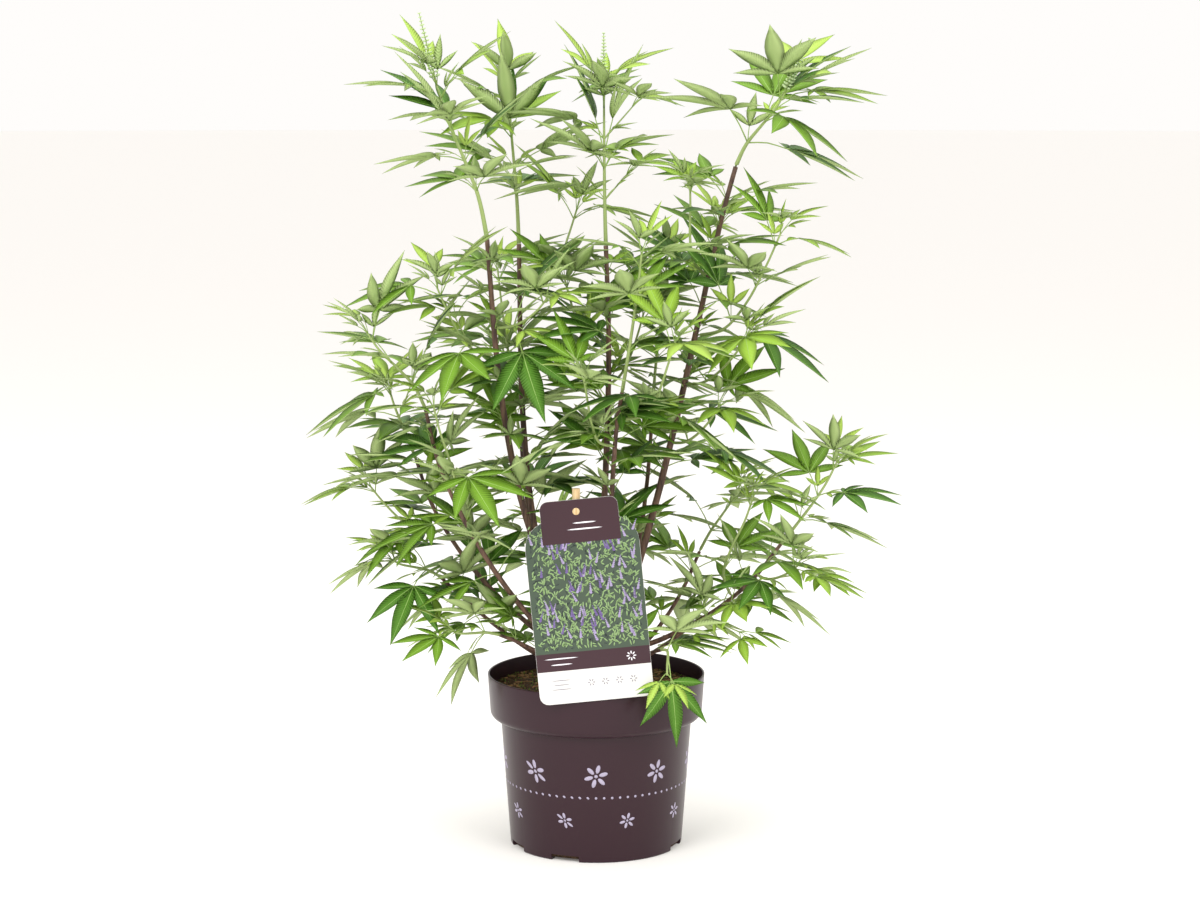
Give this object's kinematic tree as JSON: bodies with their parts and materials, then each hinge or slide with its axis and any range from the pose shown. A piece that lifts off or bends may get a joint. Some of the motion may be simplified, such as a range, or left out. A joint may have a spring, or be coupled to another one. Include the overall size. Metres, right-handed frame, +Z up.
{
  "type": "potted chaste tree",
  "caption": "Many-stemmed chaste tree shrub with hand-shaped leaves, growing in a round plum nursery pot of compost, with a plain printed card label.",
  "frame": {"origin": "middle of the pot's flat underside", "axes": "+Z up along the trunk, -Y towards the front, where the label hangs, +X to the right of someone who faces the label"},
  "size_m": [0.6237, 0.4182, 0.8542],
  "materials": {
    "pot": "satin",
    "soil": "matte",
    "label": "satin",
    "label_holder": "matte",
    "bark": "matte",
    "foliage": "matte"
  },
  "bodies": {
    "root": {"bough_back_foot": "bark", "bough_back_left": "bark", "bough_back_left_low": "bark", "bough_back_right": "bark", "bough_back_right_low": "bark", "bough_centre": "bark", "bough_front": "bark", "bough_front_foot": "bark", "bough_left": "bark", "bough_left_back_low": "bark", "bough_left_foot": "bark", "bough_left_low": "bark", "bough_left_side": "bark", "bough_right": "bark", "bough_right_foot": "bark", "bough_right_low": "bark", "foliage_back_foot": "foliage", "foliage_back_left_end": "foliage", "foliage_back_left_inner": "foliage", "foliage_back_left_rise": "foliage", "foliage_back_left_top": "foliage", "foliage_back_right_end": "foliage", "foliage_back_right_top": "foliage", "foliage_centre_back": "foliage", "foliage_centre_left": "foliage", "foliage_centre_top": "foliage", "foliage_front_foot": "foliage", "foliage_front_left": "foliage", "foliage_front_right": "foliage", "foliage_front_top": "foliage", "foliage_left_back_end": "foliage", "foliage_left_back_under": "foliage", "foliage_left_end": "foliage", "foliage_left_foot": "foliage", "foliage_left_inner": "foliage", "foliage_left_rise": "foliage", "foliage_left_side": "foliage", "foliage_left_top": "foliage", "foliage_left_under": "foliage", "foliage_right_back": "foliage", "foliage_right_end": "foliage", "foliage_right_foot": "foliage", "foliage_right_inner": "foliage", "foliage_right_mid": "foliage", "foliage_right_rise": "foliage", "foliage_right_rise_low": "foliage", "foliage_right_top": "foliage", "foliage_right_under": "foliage", "foliage_right_under_low": "foliage", "label": "label", "label_holder": "label_holder", "pot": "pot", "soil": "soil", "trunk": "bark"}
  },
  "joints": []
}
